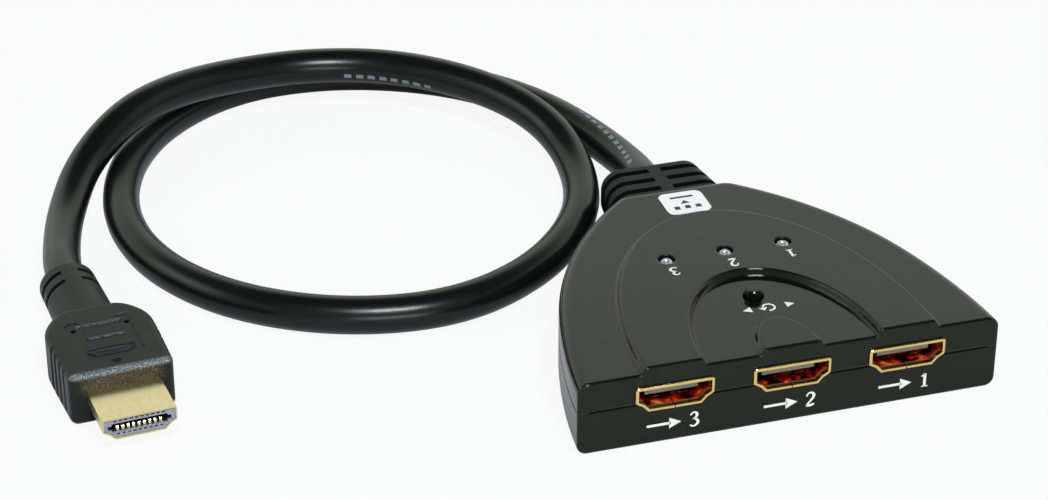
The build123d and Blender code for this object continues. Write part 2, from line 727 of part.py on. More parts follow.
PLUG_SHELL_Z0 = PLUG_Z - 2.1
PLUG_SHELL_BACK = 14.5
PREMOULD = (PLUG_SHELL_SIZE[0] + 1.5, PLUG_SHELL_SIZE[1] + 3.15)
PREMOULD_BACK = GRIP_END - 7.0
SLOT_HEIGHT = 1.8
SLOT_WIDTH = PLUG_SHELL_SIZE[0] - 2.1
SLOT_DEPTH = 10.2


def plug_shell():
    outer = connector_bar(PLUG_SHELL_SIZE, PLUG_SHELL_Z0, 0, PLUG_SHELL_BACK, 0, SHELL_CORNER)
    return outer - connector_bar(PLUG_SHELL_SIZE, PLUG_SHELL_Z0, -1, PLUG_SHELL_BACK + 1, -PLUG_SHEET)


PLUG_SLOT_Z = PLUG_SHELL_Z0 + PLUG_SHELL_SIZE[1] * 0.52


def plug_contact(i, top_row):
    """Gives one contact lying on the slot's roof or floor."""
    count = 10 if top_row else 9
    x = (i - (count - 1) / 2) * CONTACT_PITCH
    side = 1 if top_row else -1
    z_face = PLUG_SLOT_Z + side * SLOT_HEIGHT / 2
    z0 = min(z_face, z_face - side * 0.2)
    z1 = max(z_face, z_face - side * 0.2)
    return block(x - 0.17, x + 0.17, 1.3, SLOT_DEPTH, z0, z1)


def plug_contacts():
    upper = [plug_contact(i, True) for i in range(10)]
    lower = [plug_contact(i, False) for i in range(9)]
    return upper + lower


def plug_insulator():
    body = connector_bar(PLUG_SHELL_SIZE, PLUG_SHELL_Z0, 0.25, PLUG_SHELL_BACK, -PLUG_SHEET - 0.03)
    half = SLOT_WIDTH / 2
    rise = SLOT_HEIGHT / 2
    slot = block(-half + 0.7, half - 0.7, -1, SLOT_DEPTH, PLUG_SLOT_Z - rise, PLUG_SLOT_Z + rise)
    wing = block(-half, half, -1, SLOT_DEPTH, PLUG_SLOT_Z - rise / 2, PLUG_SLOT_Z + rise / 2)
    body = body - slot - wing
    for count, z0 in ((10, PLUG_SLOT_Z + rise + 0.25), (9, PLUG_SLOT_Z - rise - 0.65)):
        for i in range(count):
            x = (i - (count - 1) / 2) * CONTACT_PITCH
            body = body - block(x - 0.3, x + 0.3, -1, 1.1, z0, z0 + 0.4)
    return body


def plug_premould():
    half = PREMOULD[0] / 2
    rise = PREMOULD[1] / 2
    return block(-half, half, PLUG_SHELL_BACK, PREMOULD_BACK, PLUG_Z - rise, PLUG_Z + rise)


def plug_cores():
    group = []
    length = COLLAR_END - CABLE_DEPTH - PREMOULD_BACK
    for dx, dz in CORE_SPOTS:
        plane = Plane((dx, PREMOULD_BACK, PLUG_Z + dz), x_dir=(1, 0, 0), z_dir=(0, 1, 0))
        group.append(extrude(plane * Circle(CORE_RADIUS), amount=length))
    return group


def grip():
    """Gives the flat grip: its plan drawn up, its edges rounded, with finger grooves in both sides."""
    half = GRIP_WIDTH / 2
    neck = COLLAR_SIZE[0] / 2 - 1
    widest = (half, GRIP_FRONT + 12)
    bend = (half, GRIP_END - 8)
    tail = (neck, GRIP_END + 0.5)
    side = Line((half - 0.4, GRIP_FRONT), widest) + Line(widest, bend)
    side = side + Spline(bend, (half - 2.0, GRIP_END - 2.2), tail, tangents=[(0, 1), (-1, 0.3)])
    front = Line((-half + 0.4, GRIP_FRONT), (half - 0.4, GRIP_FRONT))
    back = Line((-neck, GRIP_END + 0.5), tail)
    body = extrude(make_face(side + mirror(side, about=Plane.YZ) + front + back), amount=GRIP_HEIGHT)
    upright = edges_at(body, lambda e: abs(e.tangent_at(0.5).Z) > 0.99 and e.center().Y < GRIP_FRONT + 0.01)
    body = fillet(upright, 1.6)
    for z in (0, GRIP_HEIGHT):
        rim = edges_at(body, lambda e, z=z: abs(e.center().Z - z) < 0.01)
        body = fillet(rim, GRIP_EDGE_RADIUS)
    notch = Rot(0, 0, 45) * Box(1.5, 1.5, GRIP_HEIGHT + 2)
    for side_x in (-half - 0.25, half + 0.25):
        for i in range(GRIP_GROOVES):
            y = GRIP_GROOVE_START + i * GRIP_GROOVE_PITCH
            body = body - Pos(side_x, y, GRIP_HEIGHT / 2) * notch
    return body


def plug_plane(y):
    """Gives an upright plane across the plug's axis, facing back."""
    return Plane((0, y, PLUG_Z), x_dir=(1, 0, 0), z_dir=(0, 1, 0))


def collar():
    """Gives the round tail of the overmould, ringed by two grooves that leave a rib above and below."""
    solid = loft([
        plug_plane(GRIP_END - 2) * Ellipse(COLLAR_SIZE[0] / 2 + 0.1, COLLAR_SIZE[1] / 2),
        plug_plane(COLLAR_END) * Ellipse(COLLAR_SIZE[0] / 2 - 0.3, COLLAR_SIZE[1] / 2 - 0.3),
    ])
    solid = fillet(edges_at(solid, lambda e: abs(e.center().Y - COLLAR_END) < 0.01), 1.2)
    core = extrude(plug_plane(GRIP_END + 1) * Circle(CABLE_RADIUS + 0.8), amount=20)
    for y in COLLAR_GROOVES:
        ring = block(-10, 10, y, y + 1.2, -1, 12) - core - block(-1.6, 1.6, GRIP_END, COLLAR_END, -1, 12)
        solid = solid - ring
    return solid


def plug_overmould():
    cable_end = COLLAR_END - CABLE_DEPTH
    shell_hole = connector_bar(PLUG_SHELL_SIZE, PLUG_SHELL_Z0, 5, PLUG_SHELL_BACK + 0.1, 0, SHELL_CORNER)
    core_length = cable_end - PREMOULD_BACK
    core_bore = extrude(plug_plane(PREMOULD_BACK) * Circle(CORE_BORE_RADIUS), amount=core_length)
    cable_bore = extrude(plug_plane(cable_end) * Circle(CABLE_RADIUS - PRESS), amount=20)
    return grip() + collar() - plug_premould() - shell_hole - core_bore - cable_bore


# Build and save every piece

top_shell, bottom_shell = shells()
save("top_shell", top_shell)
save("bottom_shell", bottom_shell)
save("main_board", board())
save("case_screws", Compound(children=screws()))

shell_solid = socket_shell()
insulator_solid = socket_insulator()
for number, x in enumerate(SOCKET_XS, start=1):
    save(f"socket_shell_{number}", Pos(x, 0, 0) * shell_solid)
    save(f"socket_insulator_{number}", Pos(x, 0, 0) * insulator_solid)
    rows = contact_solids(True) + contact_solids(False)
    save(f"socket_contacts_{number}", Compound(children=[Pos(x, 0, 0) * row for row in rows]))

switch_base, switch_cover, switch_pins = select_switch()
save("select_switch_body", switch_base)
save("select_switch_cover", switch_cover)
save("select_switch_terminals", Compound(children=switch_pins))
save("select_button_stem", button_stem())
save("select_snap_dome", snap_dome())

for number, x in enumerate(LAMP_XS, start=1):
    save(f"indicator_lamp_{number}", lamp(x))
save("lamp_spacers", Compound(children=[lamp_spacer(x) for x in LAMP_XS]))
save("lamp_leads", Compound(children=[lead for x in LAMP_XS for lead in lamp_leads(x)]))

x, y = SIGNAL_CHIP_AT
half = SIGNAL_CHIP_SIZE / 2
save("signal_switch_chip", chip(x, y, SIGNAL_CHIP_SIZE, SIGNAL_CHIP_SIZE, 1.3))
rows = chip_leads(x, y, half, half + 0.7, 9, 0.8, False) + chip_leads(x, y, half, half + 0.7, 9, 0.8, True)
save("signal_switch_chip_leads", Compound(children=rows))
x, y = CONTROL_CHIP_AT
save("control_chip", chip(x, y, CONTROL_CHIP_SIZE[0], CONTROL_CHIP_SIZE[1], 1.4))
half = CONTROL_CHIP_SIZE[1] / 2
save("control_chip_leads", Compound(children=chip_leads(x, y, half, half + 0.75, 4, 1.27, True)))
save("voltage_regulator", on_board(*REGULATOR_AT, 4.5, 2.5, 0, 1.5))
save("capacitors", Compound(children=[on_board(*at, 1.6, 0.8, 0, 0.8) for at in CAPACITORS_AT]))
save("resistors", Compound(children=[on_board(*at, 0.8, 1.6, 0, 0.5) for at in RESISTORS_AT]))

save("strain_relief", strain_relief())
save("cable", cable())
save("cable_cores", Compound(children=board_cores()))

save("plug_shell", place_plug(plug_shell()))
save("plug_insulator", place_plug(plug_insulator()))
save("plug_contacts", Compound(children=[place_plug(c) for c in plug_contacts()]))
save("plug_premould", place_plug(plug_premould()))
save("plug_cores", Compound(children=[place_plug(c) for c in plug_cores()]))
save("plug_overmould", place_plug(plug_overmould()))
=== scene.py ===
import math

import bpy
from mathutils import Matrix, Vector


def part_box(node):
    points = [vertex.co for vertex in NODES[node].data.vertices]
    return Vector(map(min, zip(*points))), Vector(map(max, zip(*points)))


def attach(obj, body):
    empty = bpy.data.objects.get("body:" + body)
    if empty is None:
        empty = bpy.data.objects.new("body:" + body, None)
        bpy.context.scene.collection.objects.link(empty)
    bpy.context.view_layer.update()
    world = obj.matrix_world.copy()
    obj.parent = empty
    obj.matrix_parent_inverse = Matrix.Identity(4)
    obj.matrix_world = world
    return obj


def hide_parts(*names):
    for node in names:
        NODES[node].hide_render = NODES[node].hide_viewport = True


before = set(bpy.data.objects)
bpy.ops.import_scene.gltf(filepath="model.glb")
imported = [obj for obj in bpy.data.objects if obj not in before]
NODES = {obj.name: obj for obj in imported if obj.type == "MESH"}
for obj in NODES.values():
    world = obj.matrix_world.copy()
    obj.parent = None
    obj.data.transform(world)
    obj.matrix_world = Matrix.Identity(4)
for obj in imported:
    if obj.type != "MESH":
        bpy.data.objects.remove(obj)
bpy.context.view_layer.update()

BODY = "switch_box"
INPUTS = (1, 2, 3)
MIDDLE_INPUT = 2
MM = 0.001

# The case's front face lies at y = FRONT_Y, and the table at z = 0
FRONT_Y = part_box("top_shell")[0].y

# Camera, fitted to the photograph
CAMERA_AT = (-0.18270, -0.45968, 0.30185)
CAMERA_AZIMUTH = math.radians(17.128)
CAMERA_DOWN = math.radians(29.925)
CAMERA_ROLL = math.radians(-0.09)
CAMERA_LENS = 103.05
SENSOR_WIDTH = 36.0

# Cable: its size, and the control points of its run; the last two lie on the plug's axis
CABLE_RADIUS = 3.75 * MM
CABLE_POINTS = [
    (0.0, 0.0300, 0.0073),
    (0.0, 0.0470, 0.0073),
    (0.0012, 0.0640, 0.0042),
    (-0.0045, 0.0855, 0.00385),
    (-0.0135, 0.1020, 0.00385),
    (-0.0290, 0.1158, 0.00385),
    (-0.0490, 0.1235, 0.00385),
    (-0.0695, 0.1227, 0.00385),
    (-0.0870, 0.1120, 0.00385),
    (-0.0993, 0.0945, 0.00385),
    (-0.1050, 0.0725, 0.00385),
    (-0.1020, 0.0505, 0.00385),
    (-0.0900, 0.0320, 0.00385),
    (-0.0710, 0.0202, 0.00385),
    (-0.0490, 0.0173, 0.00385),
    (-0.0290, 0.0270, 0.00385),
    (-0.0145, 0.0450, 0.00385),
    (-0.0092, 0.0645, 0.0041),
    (-0.0114, 0.0795, 0.0078),
    (-0.0200, 0.0945, 0.0098),
    (-0.0355, 0.1098, 0.0099),
    (-0.0540, 0.1163, 0.0099),
    (-0.0725, 0.1135, 0.0112),
    (-0.0865, 0.1070, 0.0128),
    (-0.0980, 0.0990, 0.0128),
    (-0.1088, 0.0900, 0.0076),
    (-0.1150, 0.0765, 0.00395),
    (-0.1182, 0.0630, 0.00395),
    (-0.1200153, 0.0489194, 0.0053),
    (-0.1190163, 0.0364594, 0.0053),
]

# Plug, whose axis lies flat and is turned a little from the y direction
PLUG_FRONT = Vector((-0.1155, FRONT_Y + 0.0251, 0.0))
PLUG_YAW = 0.08
PLUG_TOP = 10.6 * MM
PLUG_GRIP_FRONT = 11.4 * MM
PLUG_SLOT_FLOOR = 4.614 * MM
CONTACT_COUNT = 9
CONTACT_PITCH = 1.0
CONTACT_WIDTH = 0.46

# Case: the lid's heights under the patch, lamps and button mark, and what shows in its openings
PATCH_LEVEL = 14.9 * MM
LAMP_LEVEL = 16.35 * MM
BUTTON_LEVEL = 14.95 * MM
LAMP_PITCH = 11.8 * MM
LAMP_Y = FRONT_Y + 35.5 * MM
LAMP_TOP = LAMP_LEVEL + 0.1 * MM
SOCKET_PITCH = 22.6 * MM
TONGUE_FRONT = FRONT_Y + 1.9 * MM
TONGUE_Z = 9.88 * MM
TONGUE_HALF_WIDTH = 5.1
TONGUE_HALF_HEIGHT = 0.36

# Printed and moulded marks: their sizes are in millimetres, their places in metres
INK_RISE = 0.03
INK_FOOT = -0.005
PATCH_RISE = 0.04
PICTURE_RISE = 0.02
DOT_RISE = 0.012
# A moulded line: its height, how deep its foot is sunk, and the share of its width that is level
RIDGE = {"rise": 0.22, "foot": -0.03, "flat": 0.25}
# Digits: the middle of their cell, and how much wider their strokes are than drawn below
DIGIT_MIDDLE_ACROSS = 0.34
DIGIT_MIDDLE_UP = 0.5
DIGIT_BOLDNESS = 1.25
LID_DIGIT_HEIGHT = 2.7
LID_DIGIT_DROP = 4.6
PORT_DIGIT_HEIGHT = 2.9
PORT_MARK_BASE = 2.3
SELECT_MARK_AT = (0.0013, FRONT_Y + 0.0156, BUTTON_LEVEL)
PATCH_AT = (0.0, 0.0255, PATCH_LEVEL)
PATCH_SIZE = (9.0, 8.6)
PATCH_CORNER = 1.6
# Each run of marks on the cable: distances along the route and angles round the jacket at its two ends
CABLE_MARKS = {
    "cable_marks_1": ((0.0235, 0.0535), (33.0, -14.0)),
    "cable_marks_2": ((0.3970, 0.4190), (112.0, 102.0)),
}
DASH_LENGTH = 1.7 * MM
DASH_GAP = 1.1 * MM
DASH_HALF_ANGLE = 7.5
DASH_STEPS_ALONG = 3
DASH_STEPS_ROUND = 4

# Floor: its grey, and how much of it glows white to the camera and in reflections
FLOOR_REACH = 4.0
FLOOR_DROP = 0.00002
FLOOR_GREY = 0.66
FLOOR_GLOW_SEEN = 0.91
FLOOR_GLOW_MIRRORED = 0.10

# Sockets of the mix node that carry colours
MIX_FIRST_COLOUR = 6
MIX_SECOND_COLOUR = 7
MIX_COLOUR_OUT = 2

# Strokes of the plain digits, in a cell one unit high: points and widths
DIGITS = {
    1: [
        ([(0.13, 0.80), (0.25, 0.86), (0.35, 0.99)], (0.06, 0.10, 0.12)),
        ([(0.37, 1.0), (0.37, 0.02)], (0.16, 0.16)),
        ([(0.14, 0.03), (0.60, 0.03)], (0.07, 0.07)),
    ],
    2: [
        ([(0.07, 0.75), (0.15, 0.93), (0.33, 1.0), (0.51, 0.91), (0.55, 0.72), (0.44, 0.50), (0.24, 0.27),
          (0.07, 0.08)], (0.10, 0.09, 0.10, 0.14, 0.17, 0.14, 0.10, 0.10)),
        ([(0.05, 0.07), (0.36, 0.06), (0.60, 0.12)], (0.13, 0.16, 0.10)),
    ],
    3: [
        ([(0.07, 0.82), (0.17, 0.96), (0.32, 1.0), (0.48, 0.90), (0.48, 0.71), (0.36, 0.58), (0.21, 0.53)],
         (0.10, 0.09, 0.10, 0.15, 0.15, 0.10, 0.07)),
        ([(0.21, 0.53), (0.42, 0.49), (0.56, 0.34), (0.54, 0.16), (0.38, 0.02), (0.20, 0.0), (0.06, 0.11)],
         (0.07, 0.11, 0.16, 0.16, 0.11, 0.09, 0.11)),
    ],
}


# Camera


def make_camera():
    """The photograph's camera, as fitted to it."""
    sine_across = math.sin(CAMERA_AZIMUTH)
    cosine_across = math.cos(CAMERA_AZIMUTH)
    cosine_down = math.cos(CAMERA_DOWN)
    forward = Vector((sine_across * cosine_down, cosine_across * cosine_down, -math.sin(CAMERA_DOWN)))
    right = Vector((cosine_across, -sine_across, 0))
    down = forward.cross(right)
    turned_right = math.cos(CAMERA_ROLL) * right + math.sin(CAMERA_ROLL) * down
    turned_down = -math.sin(CAMERA_ROLL) * right + math.cos(CAMERA_ROLL) * down
    data = bpy.data.cameras.new("camera")
    data.sensor_width = SENSOR_WIDTH
    data.sensor_fit = "HORIZONTAL"
    data.lens = CAMERA_LENS
    data.clip_start = 0.01
    camera = bpy.data.objects.new("camera", data)
    bpy.context.scene.collection.objects.link(camera)
    axes = Matrix((turned_right, -turned_down, -forward)).transposed()
    camera.matrix_world = Matrix.Translation(CAMERA_AT) @ axes.to_4x4()
    bpy.context.scene.camera = camera


# Node helpers


class Tree:
    """A material's or world's node tree, with short calls to add and join nodes."""

    def __init__(self, owner):
        owner.use_nodes = True
        self.tree = owner.node_tree
        self.tree.nodes.clear()

    def add(self, kind, **values):
        """Adds a node, and sets its own properties or else its inputs by name."""
        node = self.tree.nodes.new(kind)
        for key, value in values.items():
            if hasattr(node, key):
                setattr(node, key, value)
            else:
                node.inputs[key.replace("_", " ")].default_value = value
        return node

    def join(self, source, target):
        self.tree.links.new(source, target)


def position(tree):
    """Object coordinates: every piece's object sits at the origin, so these are places in the frame."""
    return tree.add("ShaderNodeTexCoord").outputs["Object"]


def noise(tree, scale, detail, roughness=0.5, place=None):
    """Cloudy noise, in the frame's own coordinates unless it is given others."""
    node = tree.add("ShaderNodeTexNoise", Scale=scale, Detail=detail, Roughness=roughness)
    tree.join(place or position(tree), node.inputs["Vector"])
    return node.outputs["Fac"]


def ramp(tree, source, stops):
    """Colours, or plain greys, at places from 0 to 1 of the source."""
    node = tree.add("ShaderNodeValToRGB")
    elements = node.color_ramp.elements
    for i, (place, colour) in enumerate(stops):
        element = elements[i] if i < 2 else elements.new(place)
        element.position = place
        element.color = (*colour, 1.0) if isinstance(colour, tuple) else (colour, colour, colour, 1.0)
    tree.join(source, node.inputs["Fac"])
    return node.outputs["Color"]


def spread(tree, source, low, high):
    """A value that goes from low to high as the source goes from 0 to 1."""
    node = tree.add("ShaderNodeMapRange")
    node.inputs["To Min"].default_value = low
    node.inputs["To Max"].default_value = high
    tree.join(source, node.inputs["Value"])
    return node.outputs["Result"]


def ramp_along(tree, source, low, high):
    """A value that goes from 0 to 1 as the source goes from low to high."""
    node = tree.add("ShaderNodeMapRange")
    node.inputs["From Min"].default_value = low
    node.inputs["From Max"].default_value = high
    tree.join(source, node.inputs["Value"])
    return node.outputs["Result"]


def maths(tree, operation, *values):
    """A sum on one or two values, each of them a node's output or a plain number."""
    node = tree.add("ShaderNodeMath", operation=operation)
    for target, value in zip(node.inputs, values):
        if isinstance(value, float):
            target.default_value = value
        else:
            tree.join(value, target)
    return node.outputs[0]


def plug_place(tree, axis):
    """A coordinate in the plug's own frame, in metres: X to its right, Y back from its front end, Z up."""
    turned = tree.add("ShaderNodeMapping", vector_type="TEXTURE")
    turned.inputs["Location"].default_value = PLUG_FRONT
    turned.inputs["Rotation"].default_value = (0.0, 0.0, PLUG_YAW)
    tree.join(position(tree), turned.inputs["Vector"])
    split = tree.add("ShaderNodeSeparateXYZ")
    tree.join(turned.outputs["Vector"], split.inputs[0])
    return split.outputs[axis]


def mixed(tree, share, first, second):
    """The first colour where share is 0, and the second where it is 1."""
    node = tree.add("ShaderNodeMix", data_type="RGBA")
    tree.join(share, node.inputs["Factor"])
    tree.join(first, node.inputs[MIX_FIRST_COLOUR])
    tree.join(second, node.inputs[MIX_SECOND_COLOUR])
    return node.outputs[MIX_COLOUR_OUT]


def bump(tree, height, strength, distance, normal=None):
    """A fine relief in the shading, on top of another normal where one is given."""
    node = tree.add("ShaderNodeBump", Strength=strength, Distance=distance)
    tree.join(height, node.inputs["Height"])
    if normal is not None:
        tree.join(normal, node.inputs["Normal"])
    return node.outputs["Normal"]


def surface(name, **values):
    """Gives a material's tree, its main shader, and the material."""
    material = bpy.data.materials.new(name)
    tree = Tree(material)
    shader = tree.add("ShaderNodeBsdfPrincipled")
    output = tree.add("ShaderNodeOutputMaterial")
    tree.join(shader.outputs["BSDF"], output.inputs["Surface"])
    for key, value in values.items():
        shader.inputs[key.replace("_", " ")].default_value = value
    return tree, shader, material


def grained(name, grain, colours, roughness, relief=None, **values):
    """A material whose colour, roughness and relief all follow one noise.

    grain is the noise's scale, detail and own roughness; colours are the stops of a ramp; roughness
    is its lowest and highest; relief is the bump's strength and distance.
    """
    tree, shader, material = surface(name, **values)
    fine = noise(tree, *grain)
    tree.join(ramp(tree, fine, colours), shader.inputs["Base Color"])
    tree.join(spread(tree, fine, *roughness), shader.inputs["Roughness"])
    if relief is not None:
        tree.join(bump(tree, fine, *relief), shader.inputs["Normal"])
    return material


# Materials


def case_gloss(name, edge_radius):
    """Polished black plastic whose sharp edges are shaded as slightly rounded."""
    tree, shader, material = surface(name, IOR=1.41, Specular_Tint=(1.0, 1.0, 0.94, 1.0))
    cloud = noise(tree, 160.0, 3.0)
    blacks = [(0.3, (0.0032, 0.0040, 0.0026)), (0.7, (0.0046, 0.0056, 0.0038))]
    tree.join(ramp(tree, cloud, blacks), shader.inputs["Base Color"])
    fine = noise(tree, 2600.0, 3.0, 0.6)
    tree.join(spread(tree, fine, 0.07, 0.12), shader.inputs["Roughness"])
    edges = tree.add("ShaderNodeBevel", samples=6, Radius=edge_radius)
    soft = bump(tree, noise(tree, 420.0, 2.0), 0.10, 0.00012, edges.outputs["Normal"])
    tree.join(bump(tree, fine, 0.05, 0.00004, soft), shader.inputs["Normal"])
    return material


def moulded_rubber():
    """The strain relief: dark rubber with a fine sandy grain."""
    tree, shader, material = surface("moulded_rubber", IOR=1.21)
    grain = noise(tree, 2600.0, 6.0, 0.65)
    cloud = noise(tree, 130.0, 3.0)
    blacks = [(0.3, (0.0045, 0.0056, 0.0060)), (0.7, (0.0075, 0.0088, 0.0092))]
    tree.join(ramp(tree, cloud, blacks), shader.inputs["Base Color"])
    tree.join(spread(tree, grain, 0.26, 0.46), shader.inputs["Roughness"])
    tree.join(bump(tree, grain, 0.45, 0.00022), shader.inputs["Normal"])
    return material


def front_edge(tree):
    """1 on the rounded top edge of the plug's front end, and 0 from about a millimetre away."""
    along = ramp_along(tree, plug_place(tree, "Y"), PLUG_GRIP_FRONT + 1.5 * MM, PLUG_GRIP_FRONT + 0.8 * MM)
    up = ramp_along(tree, plug_place(tree, "Z"), PLUG_TOP - 1.1 * MM, PLUG_TOP - 0.6 * MM)
    return maths(tree, "MULTIPLY", along, up)


def above_shell(tree):
    """1 on the grip's front end above the metal shell, where the shell's gold reflection is painted as brown
    specks.
    """
    front = ramp_along(tree, plug_place(tree, "Y"), PLUG_GRIP_FRONT + 0.9 * MM, PLUG_GRIP_FRONT + 0.2 * MM)
    up = ramp_along(tree, plug_place(tree, "Z"), 5.8 * MM, 7.4 * MM)
    side = maths(tree, "ABSOLUTE", plug_place(tree, "X"))
    within = ramp_along(tree, side, 8.8 * MM, 6.8 * MM)
    return maths(tree, "MULTIPLY", maths(tree, "MULTIPLY", front, up), within)


def plug_rubber():
    """The plug's grip: fine satin grain, brown specks above the shell painted as its gold reflection, and
    bright specks on the front edge painted as glints.
    """
    tree, shader, material = surface("plug_rubber", IOR=1.33)
    cloud = noise(tree, 150.0, 3.0)
    fine = noise(tree, 3000.0, 5.0, 0.65)
    coarse = noise(tree, 4600.0, 2.0, 0.9)
    black = ramp(tree, cloud, [(0.3, (0.0060, 0.0078, 0.0076)), (0.7, (0.0095, 0.0120, 0.0115))])
    # Painted reflection of the gold shell: brown specks on the grip's front end above it
    painted_gold_reflection = ramp(tree, coarse, [
        (0.40, (0.008, 0.007, 0.006)),
        (0.50, (0.022, 0.017, 0.011)),
        (0.64, (0.17, 0.13, 0.08)),
    ])
    # Painted glints: bright specks on the rounded top edge of the front end
    painted_glints = ramp(tree, coarse, [(0.44, (0.012, 0.014, 0.015)), (0.60, (0.30, 0.34, 0.36))])
    body = mixed(tree, above_shell(tree), black, painted_gold_reflection)
    tree.join(mixed(tree, front_edge(tree), body, painted_glints), shader.inputs["Base Color"])
    tree.join(spread(tree, fine, 0.30, 0.46), shader.inputs["Roughness"])
    tree.join(bump(tree, fine, 0.35, 0.00015), shader.inputs["Normal"])
    return material


def plug_grey():
    """The plug's insulator: grey on its face, with painted shade turning it near black further in, in the
    slot and notches.
    """
    tree, shader, material = surface("plug_grey", IOR=1.48)
    grain = noise(tree, 2200.0, 4.0)
    face = ramp(tree, grain, [(0.3, (0.25, 0.26, 0.30)), (0.7, (0.32, 0.33, 0.38))])
    # Painted shade: near black from about half a millimetre behind the insulator's face
    painted_slot_shade = ramp(tree, grain, [(0.3, (0.012, 0.014, 0.022)), (0.7, (0.020, 0.023, 0.036))])
    depth = ramp_along(tree, plug_place(tree, "Y"), 0.35 * MM, 0.85 * MM)
    tree.join(mixed(tree, depth, face, painted_slot_shade), shader.inputs["Base Color"])
    tree.join(spread(tree, grain, 0.35, 0.5), shader.inputs["Roughness"])
    tree.join(bump(tree, grain, 0.2, 0.00005), shader.inputs["Normal"])
    return material


def socket_gold():
    """Gold plating: pale on the flared lip; deeper in, red and amber blotches painted as the gold's
    reflections, with near-black painted shade between them.
    """
    tree, shader, material = surface("socket_gold")
    grain = noise(tree, 1400.0, 5.0, 0.6)
    blotch = noise(tree, 430.0, 3.0, 0.6)
    split = tree.add("ShaderNodeSeparateXYZ")
    tree.join(position(tree), split.inputs[0])
    inside = ramp_along(tree, split.outputs["Y"], FRONT_Y + 0.35 * MM, FRONT_Y + 1.0 * MM)
    lip = ramp(tree, grain, [(0.25, (0.95, 0.65, 0.20)), (0.75, (1.0, 0.80, 0.34))])
    # Painted reflections and shade: red and amber blotches with near black between, behind the lip
    painted_reflections = ramp(tree, blotch, [
        (0.44, (0.012, 0.002, 0.001)),
        (0.52, (0.60, 0.006, 0.002)),
        (0.60, (1.0, 0.09, 0.005)),
        (0.70, (1.0, 0.60, 0.12)),
    ])
    tree.join(mixed(tree, inside, lip, painted_reflections), shader.inputs["Base Color"])
    tree.join(spread(tree, inside, 1.0, 0.5), shader.inputs["Metallic"])
    tree.join(spread(tree, grain, 0.14, 0.30), shader.inputs["Roughness"])
    tree.join(bump(tree, grain, 0.12, 0.00006), shader.inputs["Normal"])
    return material


def metal(name, colour, rough_low, rough_high):
    """Plain metal with a light and a darker tone."""
    darker = tuple(0.8 * c for c in colour)
    return grained(name, (1800.0, 4.0), [(0.3, darker), (0.7, colour)], (rough_low, rough_high), Metallic=1.0)


def plastic(name, colour, rough_low, rough_high):
    """Plain moulded plastic with a light and a darker tone."""
    darker = tuple(0.82 * c for c in colour)
    colours = [(0.3, darker), (0.7, colour)]
    return grained(name, (2200.0, 4.0), colours, (rough_low, rough_high), (0.2, 0.00005), IOR=1.48)


def tongue_hatch():
    """The tongue's end: dark moulding scored with fine pale diagonal lines."""
    tree, shader, material = surface("tongue_hatch", IOR=1.5)
    turned = tree.add("ShaderNodeMapping")
    turned.inputs["Rotation"].default_value = (0.0, math.radians(35.0), 0.0)
    tree.join(position(tree), turned.inputs["Vector"])
    lines = tree.add("ShaderNodeTexWave", Scale=760.0, Distortion=0.6)
    tree.join(turned.outputs["Vector"], lines.inputs["Vector"])
    greys = [(0.25, (0.08, 0.08, 0.08)), (0.70, (0.40, 0.40, 0.41))]
    tree.join(ramp(tree, lines.outputs["Fac"], greys), shader.inputs["Base Color"])
    tree.join(spread(tree, lines.outputs["Fac"], 0.35, 0.5), shader.inputs["Roughness"])
    return material


def cable_jacket():
    """The cable's smooth, half-glossy black jacket."""
    tree, shader, material = surface("cable_jacket", IOR=1.40, Specular_Tint=(0.94, 1.0, 0.98, 1.0))
    cloud = noise(tree, 90.0, 3.0)
    fine = noise(tree, 1500.0, 4.0, 0.6)
    blacks = [(0.3, (0.0035, 0.0040, 0.0038)), (0.7, (0.0052, 0.0058, 0.0055))]
    tree.join(ramp(tree, cloud, blacks), shader.inputs["Base Color"])
    tree.join(spread(tree, fine, 0.22, 0.30), shader.inputs["Roughness"])
    tree.join(bump(tree, fine, 0.10, 0.00008), shader.inputs["Normal"])
    return material


def gold(name, low, high, rough_low, rough_high, stretch=(1.0, 1.0, 1.0)):
    """Plated metal, whose grain can be stretched along the way it was rolled."""
    tree, shader, material = surface(name, Metallic=1.0)
    mapping = tree.add("ShaderNodeMapping", Scale=stretch)
    tree.join(position(tree), mapping.inputs["Vector"])
    grain = noise(tree, 1400.0, 5.0, 0.6, mapping.outputs["Vector"])
    tree.join(ramp(tree, grain, [(0.25, low), (0.75, high)]), shader.inputs["Base Color"])
    tree.join(spread(tree, grain, rough_low, rough_high), shader.inputs["Roughness"])
    tree.join(bump(tree, grain, 0.12, 0.00006), shader.inputs["Normal"])
    return material


